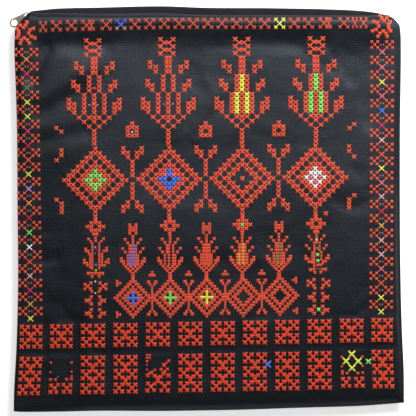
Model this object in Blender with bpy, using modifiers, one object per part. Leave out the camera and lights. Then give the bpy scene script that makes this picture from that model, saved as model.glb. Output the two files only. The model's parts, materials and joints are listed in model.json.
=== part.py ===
"""Square zipper pouch lying on its back, front face up and zipper edge towards +Y, in metres."""

import math

import bmesh
import bpy

# Overall size, seen from above
POUCH_WIDTH = 0.300
POUCH_HEIGHT = 0.3108

# Cloth panels
WALL = 0.0012
GAP = 0.0003
RIM_WIDTH = 0.0016
PUFF = 0.0078
EDGE_ROLL = 0.0014
ROLL_REACH = 0.0018
BACK_TURN = 0.024
FOLD_DEPTH = 0.0040
PUFF_SQUARENESS = 5

# Zipper tapes and coil
TAPE = 0.0010
TAPE_SHOWN = 0.0046
TAPE_UNDER = 0.0070
BACK_FOLD_INSET = 0.0090
BACK_TAPE_UNDER = 0.0050
CHAIN_INSET = 0.0039
COIL_WIDTH = 0.0037
COIL_THICKNESS = 0.0016
COIL_ROUNDING = 0.0004

# Slider
PLATE = 0.0008
FLANGE = 0.0005
SLIDER_LENGTH = 0.0085
UPPER_PLATE_WIDTH = 0.0026
NECK_LENGTH = 0.0014
NECK_WIDTH = 0.0016
NECK_SETBACK = 0.0008
SLIDER_SETBACK = 0.0029
CROWN_STRAP = 0.0007
CROWN_WIDTH = 0.0012
CROWN_POST = 0.0006
CROWN_OFFSET = 0.0011
CROWN_SETBACK = 0.0018
FLOOR_CLEARANCE = 0.0002

# Pull
PULL_THICKNESS = 0.0009
PULL_REACH = 0.0133
PULL_RING_RADIUS = 0.00365
PULL_RING_HOLE = 0.0025
PULL_EYE_RADIUS = 0.0023
PULL_EYE_LENGTH = 0.00335
PULL_EYE_WIDTH = 0.0028
PULL_EYE_CORNER = 0.0009
PULL_BAR = 0.0008
PULL_HEADING = math.radians(31.7)
PULL_TIP_CLEARANCE = 0.0001

# Outline tables: (share of the way along the edge, inset as a share of the other size)
TOP_EDGE = (
    (0.0128, 0.0441), (0.0294, 0.0269), (0.0434, 0.0138), (0.0689, 0.0099), (0.120, 0.0054),
    (0.222, 0.0032), (0.375, 0.0), (0.498, 0.0039), (0.656, 0.0047), (0.809, 0.0076),
    (0.886, 0.0113), (0.937, 0.0180), (0.9676, 0.0276), (0.978, 0.0362),
)
RIGHT_EDGE = (
    (0.0362, 0.0222), (0.049, 0.0128), (0.108, 0.0097), (0.305, 0.0120), (0.552, 0.0120),
    (0.700, 0.0100), (0.798, 0.0071), (0.897, 0.0026), (0.9771, 0.0018),
)
BOTTOM_EDGE = (
    (0.0015, 0.0017), (0.018, 0.0), (0.120, 0.0007), (0.222, 0.0027), (0.375, 0.0022),
    (0.498, 0.0037), (0.580, 0.0052), (0.733, 0.0101), (0.886, 0.0148), (0.9982, 0.0229),
)
LEFT_EDGE = (
    (0.0441, 0.0128), (0.0589, 0.0051), (0.0688, 0.0043), (0.108, 0.0033), (0.207, 0.0071),
    (0.305, 0.0100), (0.503, 0.0115), (0.650, 0.0128), (0.749, 0.0115), (0.847, 0.0082),
    (0.946, 0.0026), (0.9983, 0.0015),
)
# (share along the top, share of TAPE_SHOWN that shows there)
TAPE_BAND = (
    (0.040, 0.0), (0.048, 0.25), (0.082, 0.58), (0.171, 0.83), (0.299, 1.0),
    (0.656, 1.0), (0.835, 0.83), (0.912, 0.58), (0.950, 0.0),
)
# (share along the top, share of CHAIN_INSET)
CHAIN_RUN = ((0.035, 0.45), (0.051, 0.78), (0.070, 0.94), (0.100, 1.0), (0.930, 1.0))
# (start across, start down, end across, end down, depth as a share of FOLD_DEPTH, half width as
# a share of POUCH_WIDTH); a negative depth is a ridge
FOLDS = (
    (0.080, 0.071, 0.920, 0.062, 0.75, 0.0150),
    (0.050, 0.036, 0.950, 0.032, -0.42, 0.0130),
    (0.072, 0.062, 0.046, 0.135, 0.50, 0.0140),
    (0.930, 0.058, 0.965, 0.110, 0.40, 0.0140),
    (0.082, 0.256, 0.158, 0.207, 0.28, 0.0130),
    (0.082, 0.330, 0.158, 0.305, 0.24, 0.0130),
    (0.860, 0.480, 0.985, 0.430, 0.30, 0.0140),
    (0.860, 0.440, 0.940, 0.425, -0.20, 0.0130),
    (0.085, 0.615, 0.105, 0.635, 0.30, 0.0130),
)
TAPE_START, TAPE_END = 0.0445, 0.945
COIL_END = 0.932
# (share of the slider's length from its front, share of its half width)
SLIDER_PLAN = ((0.0, 0.34), (0.10, 0.58), (0.24, 0.80), (0.36, 0.95), (0.50, 1.0), (1.0, 1.0))

# Heights, from the floor up: crown, lower plate, coil, tape, upper plate, tape, front panel
WINDOW_HALF = math.hypot(PULL_BAR, PULL_THICKNESS) / 2 + GAP
PIVOT_Z = FLOOR_CLEARANCE + CROWN_STRAP + WINDOW_HALF
PLATE_Z = PIVOT_Z + WINDOW_HALF
COIL_Z = PLATE_Z + PLATE + GAP
TAPE_Z = COIL_Z + COIL_THICKNESS + GAP
UPPER_PLATE_Z = TAPE_Z + TAPE + GAP
TAPE_FOLD_Z = UPPER_PLATE_Z + PLATE + GAP
FRONT_RIM_Z = TAPE_FOLD_Z + TAPE + GAP
SIDE_RIM_TOP = FRONT_RIM_Z - GAP
BACK_RIM_TOP = TAPE_Z - GAP

# Grid sizes
FRONT_COLUMNS, FRONT_ROWS = 36, 40
BACK_COLUMNS, BACK_ROWS = 24, 24
TAPE_STATIONS = 24
BEND_STEPS = 8

CLOTH = (0.018, 0.019, 0.024)
TAPE_CLOTH = (0.014, 0.015, 0.018)
COIL_PLASTIC = (0.020, 0.020, 0.022)
NICKEL = (0.60, 0.60, 0.55)


def through(rows, at):
    """Reads a smooth curve through a table's rows (place, value)."""
    if at <= rows[0][0]:
        return rows[0][1]
    if at >= rows[-1][0]:
        return rows[-1][1]
    i = next(k for k in range(len(rows) - 1) if at <= rows[k + 1][0])

    def slope(k):
        low, high = max(k - 1, 0), min(k + 1, len(rows) - 1)
        return (rows[high][1] - rows[low][1]) / (rows[high][0] - rows[low][0])

    (x0, y0), (x1, y1) = rows[i], rows[i + 1]
    span = x1 - x0
    t = (at - x0) / span
    return (
        y0 * (1 + 2 * t) * (1 - t) ** 2 + slope(i) * span * t * (1 - t) ** 2
        + y1 * t * t * (3 - 2 * t) + slope(i + 1) * span * t * t * (t - 1)
    )


def clamp(value, low=0.0, high=1.0):
    return max(low, min(high, value))


def smoothstep(low, high, value):
    t = clamp((value - low) / (high - low))
    return t * t * (3 - 2 * t)


def front_top(share):
    """How far below the outline's top line the front panel's fold lies."""
    return POUCH_HEIGHT * through(TOP_EDGE, share) + TAPE_SHOWN * through(TAPE_BAND, share)


def back_top(share):
    """How far below the outline's top line the back panel starts."""
    return POUCH_HEIGHT * through(TOP_EDGE, clamp(share, 0.07, 0.93)) + BACK_FOLD_INSET


def plan_point(across, down, top):
    """Where the shares across and down a panel lie, in x and y."""
    x, y = across * POUCH_WIDTH, down * POUCH_HEIGHT
    for _ in range(40):
        share_x, share_y = x / POUCH_WIDTH, y / POUCH_HEIGHT
        left = POUCH_WIDTH * through(LEFT_EDGE, share_y)
        right = POUCH_WIDTH * (1 - through(RIGHT_EDGE, share_y))
        bottom = POUCH_HEIGHT * (1 - through(BOTTOM_EDGE, share_x))
        x = left + (right - left) * across
        y = top(share_x) + (bottom - top(share_x)) * down
    return x - POUCH_WIDTH / 2, POUCH_HEIGHT / 2 - y


def edge_distances(across, down):
    """Distances from the inner side of the rim to the four edges."""
    width, height = POUCH_WIDTH - 2 * RIM_WIDTH, POUCH_HEIGHT - 2 * RIM_WIDTH
    a = clamp((across * POUCH_WIDTH - RIM_WIDTH) / width)
    d = clamp((down * POUCH_HEIGHT - RIM_WIDTH) / height)
    return a * width, (1 - a) * width, d * height, (1 - d) * height


def fold_height(across, down):
    """The sum of the folds at a place on the front, each a soft valley along a line."""
    total = 0.0
    for x0, y0, x1, y1, depth, half_width in FOLDS:
        run_x, run_y = (x1 - x0) * POUCH_WIDTH, (y1 - y0) * POUCH_HEIGHT
        to_x, to_y = (across - x0) * POUCH_WIDTH, (down - y0) * POUCH_HEIGHT
        length = math.hypot(run_x, run_y)
        along = clamp((to_x * run_x + to_y * run_y) / length**2)
        away = math.hypot(to_x - along * run_x, to_y - along * run_y)
        total -= depth * FOLD_DEPTH * math.exp(-((away / (half_width * POUCH_WIDTH)) ** 2))
    return total


def front_height(across, down):
    """The height of the front panel's outer face above the floor."""
    left, right, upper, lower = edge_distances(across, down)
    swell = (1 - abs(left - right) ** PUFF_SQUARENESS / (left + right) ** PUFF_SQUARENESS) * (
        1 - abs(upper - lower) ** PUFF_SQUARENESS / (upper + lower) ** PUFF_SQUARENESS
    )
    roll = math.prod(1 - math.exp(-d / ROLL_REACH) for d in (left, right, upper, lower))
    lift = PUFF * swell + EDGE_ROLL * roll + fold_height(across, down) * roll
    return FRONT_RIM_Z + WALL + max(lift, 0.0)


def back_height(across, down):
    """The height of the back panel's outer face, which is flat on the floor in the middle."""
    rise = smoothstep(0.03, 0.10, down)
    rim = BACK_RIM_TOP + (SIDE_RIM_TOP - BACK_RIM_TOP) * rise - WALL
    settled = math.prod(
        1 - (1 - clamp(d / BACK_TURN)) ** 2 for d in edge_distances(across, down)
    )
    return rim * (1 - settled)


def graded(count, size, close_rows=0):
    """Shares along a panel: a rim at both ends, then steps that grow towards the middle."""
    rim = RIM_WIDTH / size
    inner = count - 2
    shares = [0.0]
    for i in range(inner + 1):
        t = i / inner
        eased = 0.5 - 0.5 * math.cos(math.pi * t)
        if close_rows and t < 0.5:
            eased = eased * (0.5 * t + 0.75)
        shares.append(rim + (1 - 2 * rim) * (0.45 * t + 0.55 * eased))
    return shares + [1.0]


def collection(name):
    made = bpy.data.collections.new(name)
    bpy.context.scene.collection.children.link(made)
    return made


def material(name, colour, roughness, metallic=0.0):
    made = bpy.data.materials.new(name)
    made.use_nodes = True
    shader = made.node_tree.nodes["Principled BSDF"]
    shader.inputs["Base Color"].default_value = (*colour, 1.0)
    shader.inputs["Roughness"].default_value = roughness
    shader.inputs["Metallic"].default_value = metallic
    made.diffuse_color = (*colour, 1.0)
    return made


def place(name, data, finish, group):
    made = bpy.data.objects.new(name, data)
    data.materials.append(finish)
    group.objects.link(made)
    return made


def sheet_mesh(name, columns, rows, where, facing_down=False):
    """A grid whose points are moved by where(column, row) to their places."""
    bm = bmesh.new()
    bmesh.ops.create_grid(bm, x_segments=columns, y_segments=rows, size=0.5)
    for vertex in bm.verts:
        column = round((vertex.co.x + 0.5) * columns)
        row = round((0.5 - vertex.co.y) * rows)
        vertex.co = where(column, row)
    if facing_down:
        bmesh.ops.reverse_faces(bm, faces=bm.faces)
    mesh = bpy.data.meshes.new(name)
    bm.to_mesh(mesh)
    bm.free()
    mesh.shade_smooth()
    return mesh


def thicken(thing, thickness, offset):
    shell = thing.modifiers.new("Wall", "SOLIDIFY")
    shell.thickness = thickness
    shell.offset = offset
    shell.use_even_offset = offset == 0


def make_front_panel(group, finish):
    across = graded(FRONT_COLUMNS, POUCH_WIDTH)
    down = graded(FRONT_ROWS, POUCH_HEIGHT, close_rows=1)

    def where(column, row):
        a, d = across[column], down[row]
        return (*plan_point(a, d, front_top), front_height(a, d))

    mesh = sheet_mesh("front_panel", FRONT_COLUMNS, FRONT_ROWS, where)
    thicken(place("front_panel", mesh, finish, group), WALL, -1)


def make_back_panel(group, finish):
    across = graded(BACK_COLUMNS, POUCH_WIDTH)
    down = graded(BACK_ROWS, POUCH_HEIGHT)

    def where(column, row):
        a, d = across[column], down[row]
        return (*plan_point(a, d, back_top), back_height(a, d))

    mesh = sheet_mesh("back_panel", BACK_COLUMNS, BACK_ROWS, where, facing_down=True)
    thicken(place("back_panel", mesh, finish, group), WALL, -1)


def top_line(share):
    """The outline's top edge, as x and y."""
    return (share - 0.5) * POUCH_WIDTH, POUCH_HEIGHT * (0.5 - through(TOP_EDGE, share))


def chain_inset(share):
    return CHAIN_INSET * through(CHAIN_RUN, share)


def along_zip(start, end, index, count):
    return start + (end - start) * index / count


def tape_profile(share):
    """The front tape's middle line: under the coil, round the top edge and into the fold."""
    low, high = TAPE_Z + TAPE / 2, TAPE_FOLD_Z + TAPE / 2
    radius = (high - low) / 2
    centre = radius + TAPE / 2
    points = [(chain_inset(share) - GAP / 2, low)]
    for i in range(BEND_STEPS + 1):
        turn = math.pi * i / BEND_STEPS
        points.append((centre - radius * math.sin(turn), low + radius * (1 - math.cos(turn))))
    reach = TAPE_SHOWN * through(TAPE_BAND, share) + TAPE_UNDER
    points.append(((centre + reach) / 2, high))
    points.append((reach, high))
    return points


def make_front_tape(group, finish):
    rows = len(tape_profile(0.5)) - 1

    def where(column, row):
        share = along_zip(TAPE_START, TAPE_END, column, TAPE_STATIONS)
        x, y = top_line(share)
        inset, z = tape_profile(share)[row]
        return x, y - inset, z

    mesh = sheet_mesh("zipper_tape_front", TAPE_STATIONS, rows, where)
    thicken(place("zipper_tape_front", mesh, finish, group), TAPE, 0)


def make_back_tape(group, finish):
    def where(column, row):
        share = along_zip(TAPE_START, TAPE_END, column, TAPE_STATIONS)
        x, y = top_line(share)
        inner, outer = BACK_FOLD_INSET + BACK_TAPE_UNDER, chain_inset(share) + GAP / 2
        return x, y - outer - (inner - outer) * row / 3, TAPE_Z + TAPE / 2

    mesh = sheet_mesh("zipper_tape_back", TAPE_STATIONS, 3, where)
    thicken(place("zipper_tape_back", mesh, finish, group), TAPE, 0)


def slider_front():
    """The x and y of the slider's front end, on the middle line of the coil."""
    x, y = top_line(TAPE_START)
    return x - SLIDER_SETBACK, y - chain_inset(TAPE_START)


def coil_start():
    """The share along the top where the coil stops short of the slider's neck."""
    x = slider_front()[0] + NECK_SETBACK + NECK_LENGTH + GAP
    return x / POUCH_WIDTH + 0.5


def make_coil(group, finish):
    start = coil_start()
    start_y = slider_front()[1]
    first_x = top_line(start)[0]

    def middle(share):
        x, y = top_line(share)
        level = smoothstep(0, 1, (x - first_x - SLIDER_LENGTH) / SLIDER_LENGTH)
        return x, start_y + (y - chain_inset(share) - start_y) * level

    def where(column, row):
        share = start + (COIL_END - start) * (column / (2 * TAPE_STATIONS)) ** 1.3
        x, y = middle(share)
        return x, y + COIL_WIDTH * (0.5 - row), COIL_Z + COIL_THICKNESS / 2

    mesh = sheet_mesh("zipper_coil", 2 * TAPE_STATIONS, 1, where)
    coil = place("zipper_coil", mesh, finish, group)
    thicken(coil, COIL_THICKNESS, 0)
    rounding = coil.modifiers.new("Rounding", "BEVEL")
    rounding.width = COIL_ROUNDING
    rounding.segments = 1
    rounding.limit_method = "ANGLE"


def plate_curve(name, outlines, thickness):
    """A flat plate from closed outlines, the first the edge and the others holes."""
    curve = bpy.data.curves.new(name, "CURVE")
    curve.dimensions = "2D"
    curve.fill_mode = "BOTH"
    curve.extrude = thickness / 2
    for outline in outlines:
        spline = curve.splines.new("POLY")
        spline.points.add(len(outline) - 1)
        for point, (x, y) in zip(spline.points, outline):
            point.co = (x, y, 0, 1)
        spline.use_cyclic_u = True
    return curve


def as_mesh(curve, low, thickness):
    """The plate as a closed mesh, with its underside at the height low."""
    holder = bpy.data.objects.new("holder", curve)
    bpy.context.scene.collection.objects.link(holder)
    graph = bpy.context.evaluated_depsgraph_get()
    mesh = bpy.data.meshes.new_from_object(holder.evaluated_get(graph))
    bpy.data.objects.remove(holder)
    bm = bmesh.new()
    bm.from_mesh(mesh)
    bmesh.ops.remove_doubles(bm, verts=bm.verts, dist=1e-6)
    bmesh.ops.translate(bm, verts=bm.verts, vec=(0, 0, low + thickness / 2))
    bm.to_mesh(mesh)
    bm.free()
    return mesh


def rectangle(x0, x1, y0, y1):
    return [(x0, y0), (x1, y0), (x1, y1), (x0, y1)]


def turned(points, centre, angle):
    """Points turned about the origin, then moved to a centre."""
    c, s = math.cos(angle), math.sin(angle)
    return [(centre[0] + x * c - y * s, centre[1] + x * s + y * c) for x, y in points]


def rounded_rectangle(x0, x1, half_width, radius, steps=5):
    corners = (
        (x1 - radius, half_width - radius, 0), (x0 + radius, half_width - radius, 90),
        (x0 + radius, radius - half_width, 180), (x1 - radius, radius - half_width, 270),
    )
    points = []
    for x, y, start in corners:
        for i in range(steps + 1):
            turn = math.radians(start + 90 * i / steps)
            points.append((x + radius * math.cos(turn), y + radius * math.sin(turn)))
    return points


def circle(x, radius, steps=24):
    turns = [2 * math.pi * i / steps for i in range(steps)]
    return [(x + radius * math.cos(t), radius * math.sin(t)) for t in turns]


def slider_outline(half_width, steps=20):
    """The slider's plate in its own frame, front end at x 0 and length along +x."""
    upper = []
    for i in range(steps + 1):
        share = i / steps
        upper.append((share * SLIDER_LENGTH, half_width * through(SLIDER_PLAN, share)))
    return upper + [(x, -y) for x, y in reversed(upper)]


def crown_centre():
    return CROWN_SETBACK, CROWN_OFFSET


def make_slider(group, cutters, finish):
    """Two plates on a neck, side flanges and a crown, all one solid."""
    bite = 0.1 * PLATE
    inner = COIL_WIDTH / 2 + GAP
    outer = inner + FLANGE
    body = place(
        "slider",
        as_mesh(plate_curve("slider", [slider_outline(outer)], PLATE), PLATE_Z, PLATE),
        finish,
        group,
    )
    body.location = (*slider_front(), 0)
    neck_end = NECK_SETBACK + NECK_LENGTH
    rear = SLIDER_LENGTH - bite
    flange_top = TAPE_Z - GAP
    half_window = WINDOW_HALF
    crown_half = half_window + CROWN_POST
    crown = (crown_centre(), PULL_HEADING)
    half = CROWN_WIDTH / 2
    strap_z = PIVOT_Z - WINDOW_HALF - CROWN_STRAP
    pieces = {
        "neck": (
            rectangle(NECK_SETBACK, neck_end, -NECK_WIDTH / 2, NECK_WIDTH / 2),
            PLATE_Z + bite, UPPER_PLATE_Z + bite,
        ),
        "upper_plate": (
            rounded_rectangle(
                NECK_SETBACK / 2, rear, UPPER_PLATE_WIDTH / 2, UPPER_PLATE_WIDTH / 3
            ),
            UPPER_PLATE_Z, UPPER_PLATE_Z + PLATE,
        ),
        "flange_left": (
            rectangle(SLIDER_LENGTH / 2, rear, inner, outer - bite), PLATE_Z + bite, flange_top,
        ),
        "flange_right": (
            rectangle(SLIDER_LENGTH / 2, rear, bite - outer, -inner), PLATE_Z + bite, flange_top,
        ),
        "post_front": (
            turned(rectangle(-crown_half, -half_window, -half, half), *crown),
            strap_z + bite, PLATE_Z + bite,
        ),
        "post_rear": (
            turned(rectangle(half_window, crown_half, -half, half), *crown),
            strap_z + bite, PLATE_Z + bite,
        ),
        "strap": (
            turned(rectangle(-crown_half, crown_half, -half - bite, half + bite), *crown),
            strap_z, strap_z + CROWN_STRAP,
        ),
    }
    for name, (outline, low, high) in pieces.items():
        mesh = as_mesh(plate_curve(name, [outline], high - low), low, high - low)
        cutter = place("slider_" + name, mesh, finish, cutters)
        cutter.location = body.location
        cutter.display_type = "WIRE"
        cutter.hide_render = True
        union = body.modifiers.new(name, "BOOLEAN")
        union.operation = "UNION"
        union.solver = "EXACT"
        union.object = cutter


def pull_outline(steps=10):
    """The hull of the ring end's circle and the eye end's circle, which taper into each other."""
    eye_x = PULL_EYE_RADIUS - PULL_BAR / 2
    lean = math.asin((PULL_RING_RADIUS - PULL_EYE_RADIUS) / (PULL_REACH - eye_x))
    points = []
    for centre, radius, start, end in (
        (PULL_REACH, PULL_RING_RADIUS, -math.pi / 2 - lean, math.pi / 2 + lean),
        (eye_x, PULL_EYE_RADIUS, math.pi / 2 + lean, 3 * math.pi / 2 - lean),
    ):
        for i in range(steps + 1):
            turn = start + (end - start) * i / steps
            points.append((centre + radius * math.cos(turn), radius * math.sin(turn)))
    return points


def pull_tilt():
    """How far the pull leans from the crown down to the floor."""
    drop = PIVOT_Z - PULL_THICKNESS / 2 - PULL_TIP_CLEARANCE
    return math.asin(drop / (PULL_REACH + PULL_RING_RADIUS))


def make_pull(group, finish):
    """The pull has its origin on its hinge line and its length along its own +x."""
    eye_start = PULL_BAR / 2
    outlines = [
        pull_outline(),
        circle(PULL_REACH, PULL_RING_HOLE),
        rounded_rectangle(
            eye_start, eye_start + PULL_EYE_LENGTH, PULL_EYE_WIDTH / 2, PULL_EYE_CORNER
        ),
    ]
    curve = plate_curve("pull_tab", outlines, PULL_THICKNESS)
    mesh = as_mesh(curve, -PULL_THICKNESS / 2, PULL_THICKNESS)
    pull = place("pull_tab", mesh, finish, group)
    x, y = slider_front()
    pull.location = (x + crown_centre()[0], y + crown_centre()[1], PIVOT_Z)
    pull.rotation_euler = (0, pull_tilt(), math.pi + PULL_HEADING)


def main():
    for thing in list(bpy.data.objects):
        bpy.data.objects.remove(thing, do_unlink=True)
    group = collection("zipper_pouch")
    cutters = collection("slider_pieces")
    sateen = material("sateen", CLOTH, 0.55)
    woven = material("woven_tape", TAPE_CLOTH, 0.8)
    make_front_panel(group, sateen)
    make_back_panel(group, material("sateen_back", CLOTH, 0.55))
    make_front_tape(group, woven)
    make_back_tape(group, material("woven_tape_back", TAPE_CLOTH, 0.8))
    make_coil(group, material("coil_plastic", COIL_PLASTIC, 0.45))
    make_slider(group, cutters, material("slider_nickel", NICKEL, 0.3, 1.0))
    make_pull(group, material("pull_nickel", NICKEL, 0.3, 1.0))


main()
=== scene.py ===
import json
import math

import bmesh
import bpy
import numpy as np
from mathutils import Euler, Matrix, Vector, noise
from mathutils.bvhtree import BVHTree


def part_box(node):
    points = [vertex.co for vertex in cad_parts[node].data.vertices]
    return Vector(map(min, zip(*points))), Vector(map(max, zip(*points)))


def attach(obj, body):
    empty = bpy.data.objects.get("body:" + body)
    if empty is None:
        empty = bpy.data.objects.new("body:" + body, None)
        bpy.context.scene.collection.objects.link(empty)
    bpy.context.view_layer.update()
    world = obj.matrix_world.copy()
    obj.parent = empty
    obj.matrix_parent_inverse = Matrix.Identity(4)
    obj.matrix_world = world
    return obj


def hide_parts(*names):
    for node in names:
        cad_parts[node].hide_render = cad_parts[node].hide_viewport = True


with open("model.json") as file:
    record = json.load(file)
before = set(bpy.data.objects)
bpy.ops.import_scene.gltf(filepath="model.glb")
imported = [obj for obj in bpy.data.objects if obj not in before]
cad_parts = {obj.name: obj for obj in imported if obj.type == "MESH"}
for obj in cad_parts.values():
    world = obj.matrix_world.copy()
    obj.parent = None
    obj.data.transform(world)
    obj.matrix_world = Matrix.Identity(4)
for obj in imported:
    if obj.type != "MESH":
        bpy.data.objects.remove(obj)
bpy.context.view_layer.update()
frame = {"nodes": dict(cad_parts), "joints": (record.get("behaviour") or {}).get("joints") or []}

# Real metres for a pixel of the photograph, and the pixel over the pouch's middle
photo = {"pixel": 0.0007657, "middle": (208.9, 209.05), "centre": (208.0, 208.0), "width": 416}
view = {"height": 6.0, "seamHeight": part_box("front_panel")[0].z}


# World x and y of a pixel, on the plane of the seam.
def fromPhoto(px, py):
    return (
        (px - photo["middle"][0]) * photo["pixel"],
        (photo["middle"][1] - py) * photo["pixel"],
    )


def makeCamera():
    x, y = fromPhoto(*photo["centre"])
    lens = bpy.data.cameras.new("camera")
    lens.sensor_width = 36
    shown = photo["width"] * photo["pixel"]
    lens.lens = lens.sensor_width * (view["height"] - view["seamHeight"]) / shown
    lens.clip_end = 20
    camera = bpy.data.objects.new("camera", lens)
    camera.location = (x, y, view["height"])
    bpy.context.scene.collection.objects.link(camera)
    bpy.context.scene.camera = camera


# Materials

# A socket that builds Math nodes when it is used in an expression.
class Wire:

    def __init__(self, kit, socket):
        self.kit, self.socket = kit, socket

    def math(self, operation, *others):
        return self.kit.add("ShaderNodeMath", {"operation": operation}, [self, *others])

    def __add__(self, other):
        return self.math("ADD", other)

    def __mul__(self, other):
        return self.math("MULTIPLY", other)

    def __sub__(self, other):
        return self.math("SUBTRACT", other)

    def __rsub__(self, other):
        return self.kit.add("ShaderNodeMath", {"operation": "SUBTRACT"}, [other, self])

    def __pow__(self, other):
        return self.math("POWER", other)

    __radd__, __rmul__ = __add__, __mul__


# Adds nodes to one material.
class Kit:

    def __init__(self, name):
        self.material = bpy.data.materials.new(name)
        self.material.use_nodes = True
        self.tree = self.material.node_tree
        self.shader = self.tree.nodes["Principled BSDF"]

    def add(self, kind, settings=None, values=(), out=0):
        node = self.tree.nodes.new(kind)
        for key, value in (settings or {}).items():
            if key == "stops":
                self.fillRamp(node, value)
            else:
                setattr(node, key, value)
        pairs = values.items() if isinstance(values, dict) else enumerate(values)
        for key, value in pairs:
            self.feed(node.inputs[key], value)
        return Wire(self, node.outputs[out])

    def fillRamp(self, node, stops):
        elements = node.color_ramp.elements
        while len(elements) < len(stops):
            elements.new(1.0)
        for element, (place, colour) in zip(elements, stops):
            element.position = place
            element.color = (*colour, 1)

    def feed(self, socket, value):
        if isinstance(value, Wire):
            self.tree.links.new(value.socket, socket)
        else:
            socket.default_value = value

    # The object's own coordinates, with their x and y.
    def place(self):
        place = self.add("ShaderNodeTexCoord", out="Object")
        return (place, *self.split(place))

    # The x and y of a vector.
    def split(self, vector):
        x = self.add("ShaderNodeSeparateXYZ", values=[vector])
        return x, Wire(self, x.socket.node.outputs["Y"])

    def noise(self, place, scale, detail=2.0):
        values = {"Vector": place, "Scale": scale, "Detail": detail}
        return self.add("ShaderNodeTexNoise", {}, values, out="Fac")

    # A sine wave over the sum of some distances, each with a wavelength in metres.
    def wave(self, first, *others):
        total = first[0] * (math.tau / first[1])
        for distance, length in others:
            total = total + distance * (math.tau / length)
        return total.math("SINE")

    def ramp(self, shade, *stops):
        return self.add("ShaderNodeValToRGB", {"stops": stops}, [shade])

    def bump(self, height, distance, strength):
        values = {"Height": height, "Distance": distance, "Strength": strength}
        return self.add("ShaderNodeBump", {}, values)

    def surface(self, values):
        for key, value in values.items():
            self.feed(self.shader.inputs[key], value)
        return self.material


# A colour as seen on screen, made linear.
def rgb(red, green, blue):
    def linear(c):
        c /= 255
        return c / 12.92 if c <= 0.04045 else ((c + 0.055) / 1.055) ** 2.4
    return (linear(red), linear(green), linear(blue))


sateen = {
    "dark": rgb(2, 3, 5), "light": rgb(11, 14, 19), "blotch": 950.0, "wide": 28.0,
    "thread": 0.00030, "weft": (0.0021, 0.0015), "slub": 0.0016, "stretch": (3.0, 0.35, 1.0),
    "canvas": 0.00125, "bump": 0.00013, "roughness": 0.42, "shine": 0.56,
    "tint": (0.76, 0.86, 1.0, 1),
}


# Black satin weave: long fine threads down the cloth, slubs and soft blotches.
def sateenMaterial():
    kit = Kit("blackSateen")
    place, x, y = kit.place()
    blotch = kit.noise(place, sateen["blotch"], 4.0)
    wide = kit.noise(place, sateen["wide"])
    stretched = kit.add("ShaderNodeMapping", {}, {"Vector": place, "Scale": sateen["stretch"]})
    slub = kit.noise(stretched, 1 / sateen["slub"])
    warp = kit.wave((x, sateen["thread"]))
    weft = kit.wave((y, sateen["weft"][1]), (x, sateen["weft"][0]))
    weave = warp * 0.6 + weft * 0.4
    canvas = kit.wave((x, sateen["canvas"])) + kit.wave((y, sateen["canvas"]))
    shade = blotch * 0.55 + wide * 0.25 + slub * 0.35 + weave * 0.04 - 0.07
    height = weave * 0.2 + slub * 0.6 + blotch * 2.0 + canvas * 0.10
    return kit.surface({
        "Base Color": kit.ramp(shade, (0.30, sateen["dark"]), (0.72, sateen["light"])),
        "Roughness": slub * 0.18 + (sateen["roughness"] - 0.09),
        "Normal": kit.bump(height, sateen["bump"], 0.9),
        "Specular IOR Level": sateen["shine"], "Specular Tint": sateen["tint"],
    })


ribbon = {
    "rib": 0.0006, "row": (0.0012, 0.0009), "fuzz": 900.0, "wide": 60.0,
    "dark": rgb(18, 19, 23), "light": rgb(52, 53, 60), "bump": 0.00008, "shine": 0.25,
}


# Woven zipper tape: a ribbed herringbone a little greyer than the cloth.
def tapeMaterial():
    kit = Kit("wovenTape")
    place, x, y = kit.place()
    ribs = kit.wave((x, ribbon["rib"]))
    rows = kit.wave((y, ribbon["row"][1]), (x, ribbon["row"][0]))
    fuzz = kit.noise(place, ribbon["fuzz"], 3.0)
    wide = kit.noise(place, ribbon["wide"])
    shade = fuzz * 0.5 + wide * 0.4 + ribs * 0.05 + rows * 0.05
    return kit.surface({
        "Base Color": kit.ramp(shade, (0.25, ribbon["dark"]), (0.8, ribbon["light"])),
        "Roughness": fuzz * 0.2 + 0.65,
        "Normal": kit.bump(ribs * 0.5 + rows * 0.5 + fuzz, ribbon["bump"], 0.8),
        "Specular IOR Level": ribbon["shine"],
    })


cotton = {
    "twist": (16.0, 5.0),  # turns of the strands along the stitch and round it
    "fray": 1400.0, "patch": 130.0, "bump": 0.00009, "shine": 0.3, "sheen": 0.12,
    # The worn tips of a stitch: where they start, how fast they fade, and their paler colour
    "tipStart": 0.26, "tipFade": 3.4, "worn": (0.78, 0.85, 0.85), "pale": (0.11, 0.10, 0.085),
}


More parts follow.
